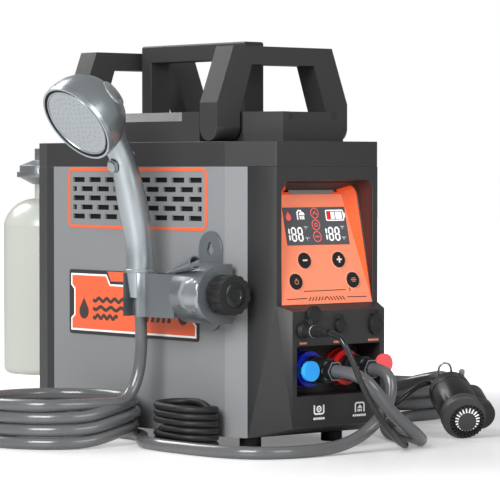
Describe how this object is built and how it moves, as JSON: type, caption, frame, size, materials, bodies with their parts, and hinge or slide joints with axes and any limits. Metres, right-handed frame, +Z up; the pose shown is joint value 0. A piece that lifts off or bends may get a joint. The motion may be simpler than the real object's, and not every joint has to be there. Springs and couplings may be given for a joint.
{
  "type": "portable gas water heater",
  "caption": "Boxy portable gas water heater with folding grips, tilting shower handset on a hose, submersible pump and a screw-on gas cylinder behind.",
  "frame": {"origin": "on the floor, in the middle of the four foot screws under the cabinet", "axes": "+Z up, -Y out of the control face, -X towards the shower holder, +Y towards the gas cylinder"},
  "size_m": [0.6381, 0.6252, 0.412],
  "materials": {
    "panel_grey": "satin",
    "frame_dark": "satin",
    "cap_dark": "satin",
    "rubber_black": "matte",
    "bezel_orange": "satin",
    "overlay_salmon": "satin",
    "display_glass": "gloss",
    "button_clear": "satin",
    "badge": "satin",
    "board_green": "matte",
    "copper": "satin",
    "sheet_steel": "satin",
    "brass": "satin",
    "battery_blue": "satin",
    "ring_blue": "satin",
    "ring_red": "satin",
    "cap_blue": "satin",
    "cap_red": "satin",
    "coupler_black": "satin",
    "hose_grey": "gloss",
    "cable_black": "satin",
    "holder_steel": "satin",
    "knob_black": "satin",
    "handset_silver": "satin",
    "handset_light": "satin",
    "cylinder_white": "satin",
    "regulator_metal": "satin",
    "pump_black": "satin",
    "pump_grey": "satin"
  },
  "bodies": {
    "cabinet": {"base_pan": "sheet_steel", "feet": "rubber_black", "left_panel": "panel_grey", "right_panel": "panel_grey", "front_frame": "frame_dark", "rear_frame": "frame_dark", "top_cap": "cap_dark", "deck": "cap_dark", "carry_handle": "cap_dark", "control_bezel": "bezel_orange", "control_overlay": "overlay_salmon", "display_window": "display_glass", "control_board": "board_green", "badge_plate": "badge", "heat_exchanger": "copper", "burner_box": "sheet_steel", "burner": "sheet_steel", "gas_valve": "brass", "water_pipes": "copper", "battery_pack": "battery_blue", "inlet_ring": "ring_blue", "outlet_ring": "ring_red", "inlet_coupler": "coupler_black", "outlet_coupler": "coupler_black", "sockets": "rubber_black", "holder_bracket": "holder_steel", "regulator_arm": "regulator_metal", "regulator_body": "regulator_metal", "supply_lead": "cable_black", "supply_lead_hank": "cable_black", "supply_plug": "cable_black", "shower_hose": "hose_grey", "shower_hose_coil": "hose_grey", "shower_hose_riser": "hose_grey", "inlet_hose": "hose_grey", "inlet_hose_coil": "hose_grey", "pump_cable": "cable_black", "pump_plug": "cable_black", "pump_body": "pump_black", "pump_strainer": "pump_grey"},
    "front_handle": {"front_bail": "cap_dark"},
    "rear_handle": {"rear_bail": "cap_dark"},
    "minus_key": {"button_minus": "button_clear"},
    "plus_key": {"button_plus": "button_clear"},
    "power_key": {"button_power": "button_clear"},
    "mode_key": {"button_mode": "button_clear"},
    "inlet_dust_cap": {"inlet_cap": "cap_blue"},
    "outlet_dust_cap": {"outlet_cap": "cap_red"},
    "pump_flap": {"pump_socket_cap": "rubber_black"},
    "usb_flap": {"usb_cap": "rubber_black"},
    "dc_flap": {"dc_cap": "rubber_black"},
    "shower_holder": {"holder_arm": "holder_steel", "handset_shell": "handset_silver", "handset_face": "handset_light", "handset_nut": "coupler_black"},
    "spray_key": {"handset_button": "handset_light"},
    "clamp_knob": {"holder_knob": "knob_black", "pivot_bolt": "sheet_steel"},
    "gas_knob": {"regulator_knob": "regulator_metal"},
    "cylinder": {"gas_cylinder": "cylinder_white"}
  },
  "joints": [
    {"name": "front_handle_fold", "type": "hinge", "parent": "cabinet", "child": "front_handle", "pos_m": [0, -0.11375, 0.3228], "axis": [1, 0, 0], "range_deg": [0, 90]},
    {"name": "rear_handle_fold", "type": "hinge", "parent": "cabinet", "child": "rear_handle", "pos_m": [0, 0.11375, 0.3228], "axis": [-1, 0, 0], "range_deg": [0, 90]},
    {"name": "minus_press", "type": "slide", "parent": "cabinet", "child": "minus_key", "axis": [0, 0.9754, -0.2205], "range_m": [0, 0.0008], "stiffness_N_per_m": 300},
    {"name": "plus_press", "type": "slide", "parent": "cabinet", "child": "plus_key", "axis": [0, 0.9754, -0.2205], "range_m": [0, 0.0008], "stiffness_N_per_m": 300},
    {"name": "power_press", "type": "slide", "parent": "cabinet", "child": "power_key", "axis": [0, 0.9754, -0.2205], "range_m": [0, 0.0008], "stiffness_N_per_m": 300},
    {"name": "mode_press", "type": "slide", "parent": "cabinet", "child": "mode_key", "axis": [0, 0.9754, -0.2205], "range_m": [0, 0.0008], "stiffness_N_per_m": 300},
    {"name": "inlet_cap_swing", "type": "hinge", "parent": "cabinet", "child": "inlet_dust_cap", "pos_m": [-0.0417, -0.192, 0.08], "axis": [0, 0, -1], "range_deg": [0, 10]},
    {"name": "outlet_cap_swing", "type": "hinge", "parent": "cabinet", "child": "outlet_dust_cap", "pos_m": [0.0467, -0.192, 0.08], "axis": [0, 0, 1], "range_deg": [0, 10]},
    {"name": "pump_cap_swing", "type": "hinge", "parent": "cabinet", "child": "pump_flap", "pos_m": [-0.043, -0.215, 0.129], "axis": [0, 1, 0], "range_deg": [-25, 25]},
    {"name": "usb_cap_lift", "type": "hinge", "parent": "cabinet", "child": "usb_flap", "pos_m": [0, -0.2145, 0.1327], "axis": [-1, 0, 0], "range_deg": [0, 110]},
    {"name": "dc_cap_lift", "type": "hinge", "parent": "cabinet", "child": "dc_flap", "pos_m": [0.0475, -0.2145, 0.1363], "axis": [-1, 0, 0], "range_deg": [0, 110]},
    {"name": "holder_tilt", "type": "hinge", "parent": "cabinet", "child": "shower_holder", "pos_m": [-0.106, -0.13, 0.156], "axis": [0, -1, 0], "range_deg": [-10, 35], "deforming": ["shower_hose_riser"]},
    {"name": "spray_press", "type": "slide", "parent": "shower_holder", "child": "spray_key", "axis": [0.9292, 0, 0.3697], "range_m": [0, 0.0015], "stiffness_N_per_m": 400},
    {"name": "clamp_knob_turn", "type": "hinge", "parent": "cabinet", "child": "clamp_knob", "pos_m": [-0.106, -0.17, 0.156], "axis": [0, 1, 0], "continuous": true},
    {"name": "gas_knob_turn", "type": "hinge", "parent": "cabinet", "child": "gas_knob", "pos_m": [0, 0.2788, 0.297], "axis": [0, 0, 1], "range_deg": [0, 270]},
    {"name": "cylinder_screw", "type": "hinge", "parent": "cabinet", "child": "cylinder", "pos_m": [0, 0.2788, 0.15], "axis": [0, 0, 1], "continuous": true}
  ]
}
